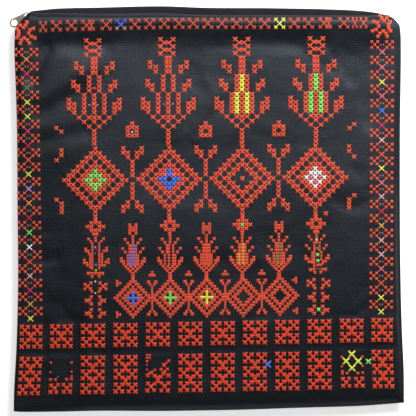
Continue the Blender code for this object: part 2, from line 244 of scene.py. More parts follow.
# Cotton floss: the stitch's own colour, fine strands that twist round it with painted shade in
# their grooves, soft shine.
def threadMaterial():
    kit = Kit("cottonFloss")
    own = kit.add("ShaderNodeAttribute", {"attribute_name": "thread"}, out="Color")
    fibre = kit.add("ShaderNodeAttribute", {"attribute_name": "fibre"}, out="Vector")
    along, turn = kit.split(fibre)
    strands = (turn * cotton["twist"][1] + along * cotton["twist"][0]).math("SINE") * 0.5 + 0.5
    place = kit.add("ShaderNodeTexCoord", out="Object")
    fray = kit.noise(place, cotton["fray"], 3.0)
    patch = kit.noise(place, cotton["patch"])
    # The colour is darker in the grooves between the twisted strands, as painted shade; fray and
    # patch add random tone.
    level = strands * 0.22 + fray * 0.3 + patch * 0.5 + 0.52
    scaled = {"Vector": own, "Scale": level}
    body = kit.add("ShaderNodeVectorMath", {"operation": "SCALE"}, scaled)
    worn = {0: body, 1: cotton["worn"], 2: cotton["pale"]}
    faded = kit.add("ShaderNodeVectorMath", {"operation": "MULTIPLY_ADD"}, worn)
    clamped = {"operation": "MULTIPLY", "use_clamp": True}
    far = along.math("ABSOLUTE") - cotton["tipStart"]
    tip = kit.add("ShaderNodeMath", clamped, [far, cotton["tipFade"]])
    mixed = {"Factor": tip, "A": body, "B": faded}
    return kit.surface({
        "Base Color": kit.add("ShaderNodeMix", {"data_type": "RGBA"}, mixed, out="Result"),
        "Roughness": fray * 0.2 + 0.48,
        "Normal": kit.bump(strands + fray * 0.6, cotton["bump"], 0.7),
        "Specular IOR Level": cotton["shine"], "Sheen Weight": cotton["sheen"],
    })


def coilMaterial():
    kit = Kit("coilPlastic")
    wear = kit.noise(kit.add("ShaderNodeTexCoord", out="Object"), 700.0)
    return kit.surface({
        "Base Color": kit.ramp(wear, (0.3, rgb(20, 20, 23)), (0.8, rgb(46, 46, 50))),
        "Roughness": wear * 0.25 + 0.28,
    })


nickel = {
    "dents": 450.0, "brushed": 900.0, "turn": (0, 0, 0.55), "stretch": (1, 9, 1),
    "dull": 0.62, "bump": 0.00004,
}


# Cast and plated metal: fine brushing, small dents and dull patches.
def nickelMaterial(name, tint, metallic):
    kit = Kit(name)
    place = kit.add("ShaderNodeTexCoord", out="Object")
    dents = kit.noise(place, nickel["dents"], 4.0)
    turned = {"Vector": place, "Rotation": nickel["turn"], "Scale": nickel["stretch"]}
    brushed = kit.noise(kit.add("ShaderNodeMapping", {}, turned), nickel["brushed"])
    shade = dents * 0.6 + brushed * 0.4
    dull = tuple(c * nickel["dull"] for c in tint)
    return kit.surface({
        "Base Color": kit.ramp(shade, (0.3, dull), (0.7, tint)), "Metallic": metallic,
        "Roughness": dents * 0.25 + 0.22, "Normal": kit.bump(shade, nickel["bump"], 0.5),
    })


# Cloth panels

outline = {  # rows are (share of the way along the edge, inset as a share of the other size)
    "width": 0.300, "height": 0.3108,
    "top": (
        (0.0128, 0.0441), (0.0294, 0.0269), (0.0434, 0.0138), (0.0689, 0.0099), (0.120, 0.0054),
        (0.222, 0.0032), (0.375, 0.0), (0.498, 0.0039), (0.656, 0.0047), (0.809, 0.0076),
        (0.886, 0.0113), (0.937, 0.0180), (0.9676, 0.0276), (0.978, 0.0362),
    ),
    "right": (
        (0.0362, 0.0222), (0.049, 0.0128), (0.108, 0.0097), (0.305, 0.0120), (0.552, 0.0120),
        (0.700, 0.0100), (0.798, 0.0071), (0.897, 0.0026), (0.9771, 0.0018),
    ),
    "bottom": (
        (0.0015, 0.0017), (0.018, 0.0), (0.120, 0.0007), (0.222, 0.0027), (0.375, 0.0022),
        (0.498, 0.0037), (0.580, 0.0052), (0.733, 0.0101), (0.886, 0.0148), (0.9982, 0.0229),
    ),
    "left": (
        (0.0441, 0.0128), (0.0589, 0.0051), (0.0688, 0.0043), (0.108, 0.0033), (0.207, 0.0071),
        (0.305, 0.0100), (0.503, 0.0115), (0.650, 0.0128), (0.749, 0.0115), (0.847, 0.0082),
        (0.946, 0.0026), (0.9983, 0.0015),
    ),
    "band": (  # (share along the top, share of the tape that shows)
        (0.040, 0.0), (0.048, 0.25), (0.082, 0.58), (0.171, 0.83), (0.299, 1.0),
        (0.656, 1.0), (0.835, 0.83), (0.912, 0.58), (0.950, 0.0),
    ),
    "tapeShown": 0.0046, "backInset": 0.0090,
}
cloth = {
    "wall": 0.0012, "rim": 0.0016, "squareness": (3.4, 12.0), "roll": 0.0014,
    "rollReach": 0.0018, "step": 0.00125, "backStep": 0.0030,
    "backTurn": 0.024,
    # (inset from the edge, way down the turned edge) as shares of the rolled seam's height
    "edge": (
        (1.85, 1.0), (0.62, 0.98), (0.15, 0.88), (0.0, 0.72), (0.12, 0.45), (0.45, 0.20),
        (0.85, 0.06), (1.30, 0.0),
    ),
}
crown = (  # (share of the way down, height in mm), in the middle of the front
    (0, 0), (0.006, 2.0), (0.0125, 2.9), (0.0225, 3.2), (0.030, 3.0), (0.045, 2.25), (0.062, 1.3),
    (0.078, 0.8), (0.090, 0.75), (0.105, 0.84), (0.148, 1.25), (0.194, 1.72), (0.295, 2.7),
    (0.471, 4.1), (0.55, 4.3), (0.632, 4.15), (0.723, 3.7), (0.834, 2.6), (0.875, 2.15),
    (0.915, 1.9), (0.962, 1.8), (0.982, 1.4), (1, 0),
)
sunk = {"left": 14, "wide": 74, "top": 120, "tall": 70, "least": 0.12}  # in pixels, and a share
swells = (  # in pixels: (start x, start y, end x, end y, height in mm, half width)
    (48, 44, 104, 45, -1.2, 10),
    (215, 44, 300, 42, -0.4, 9),
    (312, 43, 372, 41, 0.4, 9),
    (44, 52, 32, 78, -1.5, 9),
    (41, 114, 80, 92, -0.9, 10),
    (43, 142, 84, 132, -0.8, 9),
    (44, 96, 84, 72, 0.6, 11),
    (375, 50, 368, 120, -0.8, 10),
    (350, 206, 398, 180, -0.4, 10),
    (415, 225, 412, 320, 1.6, 60),
    (340, 181, 372, 187, 0.3, 12),
    (44, 262, 54, 258, -1.0, 7),
    (60, 405, 340, 402, -0.3, 7),
)


# Smooth curve through (place, value) rows, for an array of places.
def through(rows, at):
    place, value = np.array(rows, float).T
    slope = np.empty_like(value)
    slope[1:-1] = (value[2:] - value[:-2]) / (place[2:] - place[:-2])
    slope[0] = (value[1] - value[0]) / (place[1] - place[0])
    slope[-1] = (value[-1] - value[-2]) / (place[-1] - place[-2])
    at = np.clip(at, place[0], place[-1])
    i = np.clip(np.searchsorted(place, at) - 1, 0, len(place) - 2)
    span = place[i + 1] - place[i]
    t = (at - place[i]) / span
    return (
        value[i] * (1 + 2 * t) * (1 - t) ** 2 + slope[i] * span * t * (1 - t) ** 2
        + value[i + 1] * t * t * (3 - 2 * t) + slope[i + 1] * span * t * t * (t - 1)
    )


def frontTop(share):
    shown = outline["tapeShown"] * through(outline["band"], share)
    return outline["height"] * through(outline["top"], share) + shown


def backTop(share):
    line = through(outline["top"], np.clip(share, 0.07, 0.93))
    return outline["height"] * line + outline["backInset"]


def planPoints(across, down, top):
    width, height = outline["width"], outline["height"]
    x, y = across * width, down * height
    for _ in range(30):
        left = width * through(outline["left"], y / height)
        right = width * (1 - through(outline["right"], y / height))
        upper = top(x / width)
        lower = height * (1 - through(outline["bottom"], x / width))
        x, y = left + (right - left) * across, upper + (lower - upper) * down
    return x - width / 2, height / 2 - y


def edgeDistances(across, down):
    width, height = outline["width"] - 2 * cloth["rim"], outline["height"] - 2 * cloth["rim"]
    a = np.clip((across * outline["width"] - cloth["rim"]) / width, 0, 1)
    d = np.clip((down * outline["height"] - cloth["rim"]) / height, 0, 1)
    return a * width, (1 - a) * width, d * height, (1 - d) * height


def toPhoto(x, y):
    return x / photo["pixel"] + photo["middle"][0], photo["middle"][1] - y / photo["pixel"]


# Soft hills and hollows of the laid cloth, each along its own line.
def swellHeights(x, y):
    px, py = toPhoto(x, y)
    total = np.zeros_like(px)
    for x0, y0, x1, y1, height, halfWidth in swells:
        runX, runY = x1 - x0, y1 - y0
        along = np.clip(((px - x0) * runX + (py - y0) * runY) / (runX**2 + runY**2), 0, 1)
        away = np.hypot(px - x0 - along * runX, py - y0 - along * runY)
        total += height / 1000 * np.exp(-((away / halfWidth) ** 2))
    return total


# The left side lies flatter below its first third: a share of the height there.
def sinking(x, y):
    px, py = toPhoto(x, y)
    across = np.clip((px - sunk["left"]) / sunk["wide"], 0, 1)
    down = np.clip((py - sunk["top"]) / sunk["tall"], 0, 1)
    return 1 - (1 - sunk["least"]) * (1 - across) * down * down * (3 - 2 * down)


# Soft unevenness of pressed and stitched cloth.
def ripples(x, y):
    out = np.empty(len(x))
    for i, (px, py) in enumerate(zip(x, y)):
        wide = noise.noise((px * 22, py * 22, 1.7))
        small = noise.noise((px * 90, py * 90, 5.1))
        tiny = noise.noise((px * 380, py * 380, 9.3))
        out[i] = 0.00042 * wide + 0.00016 * small + 0.00005 * tiny
    return out


def frontHeights(across, down, x, y):
    left, right, upper, lower = edgeDistances(across, down)
    n = np.where(left < right, *cloth["squareness"])
    swell = through(crown, down) / 1000 * (1 - (abs(left - right) / (left + right)) ** n)
    roll = np.ones_like(across)
    for d in (left, right, upper, lower):
        roll *= 1 - np.exp(-d / cloth["rollReach"])
    lift = (swell + cloth["roll"] * roll + swellHeights(x, y) * roll) * sinking(x, y)
    lift = np.maximum(lift + ripples(x, y) * roll + blockRelief(x, y), 0)
    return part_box("front_panel")[0].z + cloth["wall"] + lift


def backHeights(across, down, x, y):
    t = np.clip((down - 0.03) / 0.07, 0, 1)
    rise = t * t * (3 - 2 * t)
    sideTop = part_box("back_panel")[1].z
    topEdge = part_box("zipper_tape_back")[0].z - 0.0003
    rim = topEdge + (sideTop - topEdge) * rise - cloth["wall"]
    settled = np.ones_like(across)
    for d in edgeDistances(across, down):
        settled *= 1 - (1 - np.clip(d / cloth["backTurn"], 0, 1)) ** 2
    return rim * (1 - settled)


# Distances from the first edge with the drop of the rolled seam, edge to edge.
def stations(size, step, turn):
    border = [(inset * turn, drop * turn) for inset, drop in cloth["edge"]]
    inner = size - 2 * border[-1][0]
    count = round(inner / step)
    middle = [(border[-1][0] + inner * i / count, 0.0) for i in range(1, count)]
    mirrored = [(size - inset, drop) for inset, drop in reversed(border)]
    return np.array(border + middle + mirrored).T


def gridMesh(name, points, columns, rows, flip=False):
    mesh = bpy.data.meshes.new(name)
    index = np.arange(columns * rows).reshape(rows, columns)
    quads = np.stack([index[1:, :-1], index[1:, 1:], index[:-1, 1:], index[:-1, :-1]], axis=-1)
    quads = quads.reshape(-1, 4)
    if flip:
        quads = quads[:, ::-1]
    mesh.from_pydata(points.tolist(), [], quads.tolist())
    mesh.shade_smooth()
    return mesh


def showPiece(name, mesh, material):
    piece = bpy.data.objects.new(name, mesh)
    mesh.materials.clear()
    mesh.materials.append(material)
    bpy.context.scene.collection.objects.link(piece)
    return piece


settling = {
    "columns": 70, "frames": 16, "grow": 0.010, "pressure": 1.2, "share": 0.55, "cap": 0.00035,
    "blur": 60, "calm": 0.028,
}


# The wide swelling of a square grid, by averages of neighbours.
def blurred(grid):
    for _ in range(settling["blur"]):
        wider = np.pad(grid, 1, mode="edge")
        grid = (wider[:-2, 1:-1] + wider[2:, 1:-1] + wider[1:-1, :-2] + wider[1:-1, 2:]) / 4
    return grid


# Cloth simulation of a coarse front, sewn down at its edges and a little too large for
# them, so that it creases. Gives the change of height at even shares across and down.
def settle():
    n = settling["columns"]
    a, d = (grid.ravel() for grid in np.meshgrid(np.linspace(0, 1, n), np.linspace(0, 1, n)))
    x, y = planPoints(a, d, frontTop)
    points = np.stack([x, y, frontHeights(a, d, x, y)], axis=1)
    piece = bpy.data.objects.new("settling", gridMesh("settling", points, n, n))
    bpy.context.scene.collection.objects.link(piece)
    seams = piece.vertex_groups.new(name="seams")
    edge = [i for i in range(n * n) if i % n in (0, n - 1) or i // n in (0, n - 1)]
    seams.add(edge, 1.0, "REPLACE")
    fabric = piece.modifiers.new("fabric", "CLOTH")
    fabric.settings.quality = 6
    fabric.settings.mass = 0.2
    fabric.settings.tension_stiffness = fabric.settings.compression_stiffness = 20
    fabric.settings.bending_stiffness = 0.2
    fabric.settings.vertex_group_mass = "seams"
    fabric.settings.shrink_min = -settling["grow"]
    fabric.settings.use_pressure = True
    fabric.settings.uniform_pressure_force = settling["pressure"]
    fabric.settings.effector_weights.gravity = 0
    fabric.point_cache.frame_start, fabric.point_cache.frame_end = 1, settling["frames"]
    for number in range(1, settling["frames"] + 1):
        bpy.context.scene.frame_set(number)
    graph = bpy.context.evaluated_depsgraph_get()
    moved = np.empty(n * n * 3)
    piece.evaluated_get(graph).data.attributes["position"].data.foreach_get("vector", moved)
    change = moved.reshape(-1, 3)[:, 2] - points[:, 2]
    bpy.data.objects.remove(piece)
    bpy.context.scene.frame_set(1)
    most, usual = (round(float(v) * 1000, 2) for v in (abs(change).max(), change.std()))
    print("settled by", most, "mm at most,", usual, "mm spread")
    change = change.reshape(n, n)
    creases = (change - blurred(change)) * settling["share"]
    return settling["cap"] * np.tanh(creases / settling["cap"])


# Smooth values of a square grid at every pair of the places across and down.
def spread(grid, across, down):
    even = np.linspace(0, 1, len(grid))
    rows = np.array([through(np.stack([even, row], axis=1), across) for row in grid])
    return np.array([through(np.stack([even, column], axis=1), down) for column in rows.T]).T


# A cloth panel whose edges roll over and turn under at the seams.
def panel(name, step, turn, top, heights, sign, material, change=None):
    acrossAt, acrossDrop = stations(outline["width"], step, turn)
    downAt, downDrop = stations(outline["height"], step, turn)
    columns, rows = len(acrossAt), len(downAt)
    a, d = np.meshgrid(acrossAt / outline["width"], downAt / outline["height"])
    drop = np.maximum(*np.meshgrid(acrossDrop, downDrop))
    a, d, drop = a.ravel(), d.ravel(), drop.ravel()
    x, y = planPoints(a, d, top)
    z = heights(a, d, x, y) + sign * drop
    if change is not None:
        reach = settling["calm"]
        calm = np.prod([1 - np.exp(-((t / reach) ** 2)) for t in edgeDistances(a, d)], axis=0)
        z += spread(change, acrossAt / outline["width"], downAt / outline["height"]).ravel() * calm
    mesh = gridMesh(name, np.stack([x, y, z], axis=1), columns, rows, flip=sign > 0)
    return showPiece(name, mesh, material)


# Embroidery, placed by pixels of the photograph

thread = {
    # red is the scarlet thread made paler in green and blue: partly the thread's own tone, partly
    # painted sheen on the upper stitches
    "red": rgb(246, 88, 54), "brick": rgb(222, 82, 54), "scarlet": rgb(248, 74, 36),
    "orange": rgb(246, 150, 82), "gold": rgb(222, 170, 66), "yellow": rgb(244, 240, 84),
    "lime": rgb(206, 214, 120), "green": rgb(140, 236, 104), "moss": rgb(96, 150, 96),
    "olive": rgb(112, 122, 66), "blue": rgb(72, 128, 250), "indigo": rgb(44, 30, 130),
    "violet": rgb(92, 84, 220), "lilac": rgb(196, 150, 200), "plum": rgb(62, 28, 52),
    "magenta": rgb(214, 44, 108), "crimson": rgb(206, 34, 62), "pink": rgb(240, 112, 128),
    "palePink": rgb(238, 178, 178), "beige": rgb(196, 142, 112), "slate": rgb(104, 104, 120),
    "white": rgb(245, 243, 246),
}
letters = {
    "X": "red", "B": "blue", "V": "violet", "Y": "yellow", "D": "gold", "O": "orange", "G": "green",
    "L": "olive", "P": "pink", "p": "palePink", "M": "magenta", "l": "lilac", "C": "crimson",
    "W": "white", "U": "plum", "S": "scarlet", "I": "lime",
}
crosses = []  # (x, y, width, height, colour, thickness share), in pixels


def cross(x, y, width, height, colour="red", thick=1.0):
    crosses.append((x, y, width, height, colour, thick))


# Crosses from rows of letters, centred on x, with the first row at y.
def chart(rows, x, y, width, height, colours=None, thick=1.0):
    known = {**letters, **(colours or {})}
    for r, row in enumerate(rows):
        for c, letter in enumerate(row):
            if letter in known and known[letter]:
                offset = (c - (len(row) - 1) / 2) * width
                cross(x + offset, y + r * height, width, height, known[letter], thick)


bigTree = {
    "bodies": (94.0, 168.1, 241.8, 315.8), "crowns": (92.5, 166.6, 241.5, 316.3),
    "tops": (40.6, 39.4, 39.2, 38.6), "feet": (126.8, 126.3, 125.8, 124.8),
    "fills": (None, None, "yellow", "green"), "column": 5.05,
    # Distances of the rows from the top row, in a tree of the photograph
    "rows": (
        0, 3.4, 7.2, 10.6, 14.2, 18.5, 23.0, 27.6, 32.4, 37.2, 41.7, 46.1, 50.6, 55.3, 59.8, 64.2,
        68.7, 72.8, 77.8, 82.1, 86.9, 91.2, 95.5, 99.6, 103.9,
    ),
    # (column, row) of the crosses of the leaves on the left, mirrored on the right
    "leaves": (
        (3.6, 6), (3.6, 7), (2.5, 7), (2.5, 8), (4.1, 10), (4.1, 11), (3.2, 11), (3.2, 12),
        (5, 14), (5, 15), (4, 15), (5, 16), (4, 16), (4, 17),
    ),
    "knots": (  # (x, y, width, height, colour)
        (93.4, 103.6, 3.4, 2.2, "lilac"), (89.4, 105.0, 2.0, 1.6, "pink"),
        (97.4, 105.0, 2.0, 1.6, "pink"), (93.9, 88.3, 3.2, 2.2, "red"),
        (167.6, 103.4, 2.4, 2.0, "lilac"), (164.0, 104.3, 1.6, 1.4, "pink"),
        (172.8, 103.8, 1.8, 1.6, "lilac"),
    ),
}


def stitchBigTrees():
    for body, crown, top, foot, fill in zip(
        bigTree["bodies"], bigTree["crowns"], bigTree["tops"], bigTree["feet"], bigTree["fills"]
    ):
        scale = (foot - top) / bigTree["rows"][20]
        wide = bigTree["column"]

        def put(column, row, colour="red", width=wide, height=4.5, centre=body):
            close = 1.0 if colour == "red" else 1.25
            y = top + bigTree["rows"][row] * scale
            cross(centre + column * wide, y, width, height, colour, close)

        for row in range(5):
            away, width, height = (6.4, 4.9, 4.8) if row % 2 == 0 else (2.2, 6.0, 4.5)
            for place in (-away, away):
                put(place / wide, row, width=width, height=height, centre=crown)
        for row in range(5, 9):
            put(-1.75 / wide, row, width=3.5)
            put(1.75 / wide, row, width=3.5)
        for row in range(9, 13):
            put(-1, row)
            put(1, row)
            if fill:
                put(0, row, fill)
        for row in range(13, 18):
            for column in (-2, 0, 2):
                put(column, row)
            if fill:
                put(-1, row, fill)
                put(1, row, fill)
        for row, places in ((18, (-3, -1, 0, 1, 3)), (19, (-2, 0, 2)), (20, (-1, 1))):
            for column in places:
                put(column, row)
        for row in range(21, 25):
            put(0, row)
        for column, row in bigTree["leaves"]:
            put(-column, row)
            put(column, row)
    for x, y, width, height, colour in bigTree["knots"]:
        cross(x, y, width, height, colour)


# The places (column, row) of a stepped double outline and of the one inside it.
def ring(size, inner):
    places = set()
    for reach in (size, inner):
        for row in range(-reach, reach + 1):
            for step in (0, 1):
                column = reach - abs(row) - step
                if column >= 0:
                    places |= {(column, row), (-column, row)}
    return places


diamonds = {
    "big": (
        (95.2, 180.4, "firstFill"), (169.1, 179.3, "secondFill"), (242.2, 178.5, "thirdFill"),
        (315.3, 177.4, "fourthFill"),
    ),
    "bigStep": (4.43, 4.5),
    "firstFill": ("..G..", ".GGG.", "GIXIG", ".GIG.", "..G.."),
    "secondFill": ("..B..", ".PBP.", "BB.BB", ".BBB.", "..B.."),
    "thirdFill": ("..X..",),
    "fourthFill": ("..W..", ".WWW.", "WPWPW", ".WPW.", "..W.."),
    "small": (
        (132.9, 298.2, "B"), (170.2, 297.8, "G"), (206.8, 297.3, "Y"), (243.2, 296.8, "."),
        (279.8, 295.6, "."),
    ),
    "smallStep": (2.6, 2.74),
}


def stitchDiamond(x, y, step):
    for column, row in sorted(ring(7, 4)):
        cross(x + column * step[0], y + row * step[1], *step)


def stitchDiamonds():
    for x, y, fill in diamonds["big"]:
        step = diamonds["bigStep"]
        stitchDiamond(x, y, step)
        rows = diamonds[fill]
        chart(rows, x, y - (len(rows) - 1) / 2 * step[1], *step, thick=1.15)
        cross(x, y + 8 * step[1], step[0], 4.2)
        cross(x, y + 8.85 * step[1], step[0], 4.0)
    for x, y, letter in diamonds["small"]:
        step = diamonds["smallStep"]
        stitchDiamond(x, y, step)
        rows = [row.replace("#", letter) for row in ("..#..", "..#..", "#####", "..#..", "..#..")]
        chart(rows, x, y - 2 * step[1], *step, thick=1.2)


forks = {  # the Y shapes between the diamonds
    "big": ((132.3, 179.9), (205.6, 178.9), (278.4, 177.8)), "bigStep": (4.6, 4.5),
    "small": ((152.0, 298.3), (188.6, 297.8), (225.1, 297.3), (261.7, 296.6)),
    "smallStep": (2.58, 2.74),
}


def stitchForks():
    wide, high = forks["bigStep"]
    for x, y in forks["big"]:
        for side in (-1, 1):
            for column, row in ((2, 7), (2, 6), (1, 6), (1, 5), (0, 4), (0, 3), (0, 2), (0, 1)):
                for flip in (-1, 1):
                    if column or flip > 0:
                        cross(x + flip * column * wide, y + side * row * high, wide, high)
    wide, high = forks["smallStep"]
    for x, y in forks["small"]:
        for side in (-1, 1):
            for row in (1, 2, 3, 4):
                cross(x, y + side * row * high, wide * 0.85, high)
            for flip in (-1, 1):
                cross(x + flip * 0.8 * wide, y + side * 4.95 * high, wide * 1.1, high)
                cross(x + flip * 1.38 * wide, y + side * 5.9 * high, wide * 1.5, high * 1.3)
        for flip in (-1, 1):
            cross(x + flip * 0.8 * wide, y, wide * 0.6, high)
        for column in (-1, 0, 1):
            cross(x + column * 2.4, y - 22.9, 2.4, 3.0)
        cross(x, y - 25.8, 2.8, 2.8)


blossoms = {"places": ((132.0, 123.5), (205.5, 123.2), (278.6, 122.4)), "step": (4.45, 4.05)}
loneCrosses = (
    (56.1, 128.1), (61.2, 131.8), (61.2, 150.5), (61.2, 155.2), (56.5, 160.4), (56.5, 200.0),
    (61.5, 203.7), (61.5, 208.0), (61.5, 212.3), (354.1, 124.3), (349.4, 128.3), (348.9, 146.5),
    (348.9, 151.3), (353.9, 156.8), (354.2, 195.4), (349.1, 199.7), (348.9, 203.7),
    (348.9, 207.7), (325.7, 213.5),
)


def stitchBlossoms():
    for x, y in blossoms["places"]:
        chart((".X.", "XXX", "X.X", "XXX"), x, y, *blossoms["step"])
    cross(132.0, 132.0, 1.8, 1.8, "white")
    for x, y in loneCrosses:
        cross(x, y, 4.6, 4.4)


wreaths = {
    "places": ((95.2, 226.8), (169.5, 225.9), (242.2, 224.7), (315.9, 223.8)),
    "rows": ("..X..", ".XXX.", "XX.XX", ".XXX.", "..X.."), "step": (4.0, 3.8),
}
littleTree = {
    # (centre, shift down, has a crown of its own, fill colour)
    "places": (
        (132.7, 0.0, True, "blue"), (169.9, -0.3, False, "plum"), (206.3, -0.9, True, "red"),
        (242.1, -1.3, False, "gold"), (278.8, -2.3, True, "olive"),
    ),
    "leaves": (
        (7.8, 239.6), (5.2, 243.1), (10.2, 248.8), (7.4, 252.3), (11.6, 258.7), (11.4, 261.5),
        (9.4, 261.5), (9.2, 264.2), (7.0, 266.7), (4.8, 268.9), (2.8, 271.2), (2.2, 266.7),
    ),
    "column": 2.1,
}


def stitchLittleTrees():
    for x, y in wreaths["places"]:
        rows, step = wreaths["rows"], wreaths["step"]
        chart(rows, x, y - 2 * step[1], *step)
    cross(242.2, 224.7, 3.6, 3.4, "green")
    wide = littleTree["column"]
    for x, shift, crowned, fill in littleTree["places"]:
        known = {"F": fill}
        if crowned:
            chart(("X.X", "XXX", "XXX", "X.X", ".X."), x, 224.9 + shift, 3.1, 2.9)
        else:
            cross(x, 236.8 + shift, 2.8, 3.0)
        cross(x, 239.6 + shift, 2.7, 3.1)
        cross(x, 242.7 + shift, 2.7, 3.1)
        chart(("XXFX",) * 3, x, 246.0 + shift, wide, 3.25, known)
        chart(("XFXFXX",) * 4, x, 255.8 + shift, wide, 2.95, known)
        for away, y in littleTree["leaves"]:
            for side in (-1, 1):
                cross(x + side * away, y + shift, 3.3, 3.1)
        cross(x, 268.9 + shift, 3.0, 2.8)
        for y in (273.6, 276.7, 279.8):
            cross(x, y + shift, 4.3, 3.2)


wornTrees = {
    # (x, first y, last y) of the narrow columns
    "columns": (
        (92.2, 244.2, 268.5), (99.1, 243.6, 268.5), (90.1, 255.2, 267.0), (101.9, 254.4, 263.0),
        (314.2, 243.0, 266.5), (319.4, 243.0, 250.0), (312.2, 252.8, 262.5), (321.3, 252.6, 259.5),
    ),
    # (x, y, size)
    "single": (
        (93.4, 234.4, 3.0), (97.0, 234.4, 3.0), (95.4, 238.2, 2.8), (95.5, 241.0, 2.8),
        (88.4, 239.2, 3.0), (90.8, 241.7, 2.6), (103.4, 238.8, 3.0), (101.1, 241.4, 2.6),
        (85.5, 248.9, 2.8), (85.6, 251.2, 2.6), (88.1, 251.2, 2.6), (88.7, 253.8, 2.6),
        (106.5, 248.4, 2.8), (106.7, 250.9, 2.6), (103.8, 251.1, 2.8), (84.1, 260.3, 2.8),
        (84.1, 263.2, 2.8), (86.8, 263.0, 2.6), (87.3, 265.6, 2.8), (90.6, 267.9, 2.6),
        (108.0, 259.7, 2.8), (108.4, 262.9, 2.8), (105.7, 262.2, 2.8), (104.4, 265.6, 2.8),
        (101.7, 265.6, 2.6), (88.1, 273.5, 3.8), (91.6, 273.4, 3.2), (95.2, 273.5, 3.4),
        (98.8, 273.4, 3.2), (102.3, 273.5, 3.8), (92.0, 276.7, 2.9), (99.0, 276.5, 2.9),
        (314.4, 232.2, 3.0), (317.8, 232.2, 3.0), (316.3, 235.0, 2.8), (316.3, 237.6, 2.8),
        (308.9, 236.6, 3.0), (311.2, 239.6, 2.8), (323.9, 236.0, 3.0), (321.3, 239.4, 2.8),
        (316.2, 242.7, 2.8), (306.4, 245.7, 3.0), (309.1, 248.9, 3.0), (326.2, 245.5, 3.0),
        (323.9, 248.7, 2.8), (305.5, 256.3, 2.8), (305.7, 258.9, 2.8), (307.9, 258.9, 2.6),
        (308.7, 261.9, 2.8), (311.0, 261.9, 2.6), (328.4, 255.6, 2.8), (328.4, 258.4, 2.8),
        (326.2, 258.4, 2.6), (325.7, 261.5, 2.8), (323.2, 261.4, 2.6), (317.8, 265.1, 3.2),
        (320.6, 264.9, 2.8), (322.6, 263.6, 2.4), (310.3, 269.8, 3.5), (313.8, 269.6, 3.0),
        (314.8, 272.5, 2.9), (320.7, 272.2, 2.9), (322.1, 269.4, 2.8), (325.3, 269.6, 3.6),
    ),
    # (x, y, size, colour)
    "coloured": (
        (95.1, 247.4, 1.8, "lilac"), (95.8, 250.1, 3.0, "indigo"), (95.1, 253.6, 1.6, "slate"),
        (95.6, 265.2, 3.0, "slate"), (95.8, 270.3, 1.9, "lime"), (316.5, 239.9, 2.8, "lime"),
        (317.0, 248.5, 2.6, "moss"), (317.5, 254.8, 3.4, "green"), (317.8, 260.7, 3.2, "green"),
        (317.0, 269.0, 1.6, "slate"), (319.5, 269.2, 1.6, "slate"),
    ),
}


def stitchWornTrees():
    for x, first, last in wornTrees["columns"]:
        count = round((last - first) / 3.1)
        for i in range(count + 1):
            cross(x, first + (last - first) * i / count, 2.1, 3.0)
    for x, y, size in wornTrees["single"]:
        cross(x, y, size, size)
    for x, y, size, colour in wornTrees["coloured"]:
        cross(x, y, size, size, colour, 1.2)


wornColumns = {  # (away from the middle, down from the row's place, size) on both sides
    "middles": ((95.3, 0.0), (318.4, -3.4)),
    "top": (
        (10.5, -1.9, 3.2), (10.5, 2.5, 3.2), (7.9, 0, 4.0), (4.6, -3.4, 3.4), (4.9, 2.5, 3.6),
        (3.6, 5.3, 3.0),
    ),
    "others": ((8.6, 0, 4.8), (5.6, 0, 3.0), (4.2, -3.7, 3.6), (4.2, 3.3, 3.8)),
    "rows": (286.5, 300.8, 313.6),
}


def stitchWornColumns():
    for middle, shift in wornColumns["middles"]:
        for row, y in enumerate(wornColumns["rows"]):
            for away, down, size in wornColumns["top" if row == 0 else "others"]:
                for side in (-1, 1):
                    cross(middle + side * away, y + shift + down, size, size)
    cross(95.3, 281.5, 1.7, 1.7, "white", 0.8)
    cross(95.4, 293.2, 1.7, 1.7, "white", 0.8)
    cross(318.6, 309.5, 4.0, 4.0, "green")
    for x, y in ((118.2, 283.4), (118.2, 314.7)):
        for row in (-1, 0, 1):
            cross(x - 1.2, y + row * 2.2, 2.6, 2.3)
        cross(x + 1.6, y, 2.8, 2.8)
    for x, y in ((294.7, 280.2), (295.6, 311.0)):
        for row in (-1, 0, 1):
            cross(x + 1.2, y + row * 2.2, 2.6, 2.3)
        cross(x - 1.6, y, 2.8, 2.8)


sideBorder = {
    "rows": ("X.X", ".X.", "X.X"), "step": 2.9,
    "left": {
        "y": (
            52.2, 66.5, 80.8, 95.1, 109.4, 124.1, 138.4, 152.8, 167.1, 181.7, 196.0, 210.7, 225.4,
            240.0, 254.7, 268.8, 283.0, 297.0, 311.4,
        ),
        "xs": (
            (0, 18.8, 33.8), (0.22, 20.1, 34.8), (0.4, 21.0, 35.7), (0.6, 21.5, 36.4),
            (1, 22.8, 38.1),
        ),
        "colours": "OMLYYMCXYlOCGWXpMDY",
    },
    "right": {
        "y": (
            44.7, 60.1, 74.8, 88.9, 103.4, 118.2, 132.9, 147.2, 161.1, 175.5, 189.3, 204.2, 218.5,
            233.1, 247.2, 261.6, 275.9, 290.3, 304.5,
        ),
        "xs": ((0, 374.7, 389.6), (1, 373.6, 388.5)),
        "colours": "PPYPBMpXYPpCDppPXYY",
    },
}


def stitchSideBorders():
    step = sideBorder["step"]
    for side in ("left", "right"):
        rows = sideBorder[side]["y"]
        table = sideBorder[side]["xs"]
        for i, (y, letter) in enumerate(zip(rows, sideBorder[side]["colours"])):
            share = i / (len(rows) - 1)
            outer = float(through([(s, a) for s, a, b in table], share))
            inner = float(through([(s, b) for s, a, b in table], share))
            for x in (outer, inner):
                chart(sideBorder["rows"], x, y - step, step, step)
            middle = (outer + inner) / 2
            cross(middle - 1.3, y, 1.2, 2.0, "beige", 0.6)
            cross(middle + 1.3, y, 1.2, 2.0, "beige", 0.6)
            cross(middle, y + 7.2, 6.6, 6.4, letters[letter], 0.8)


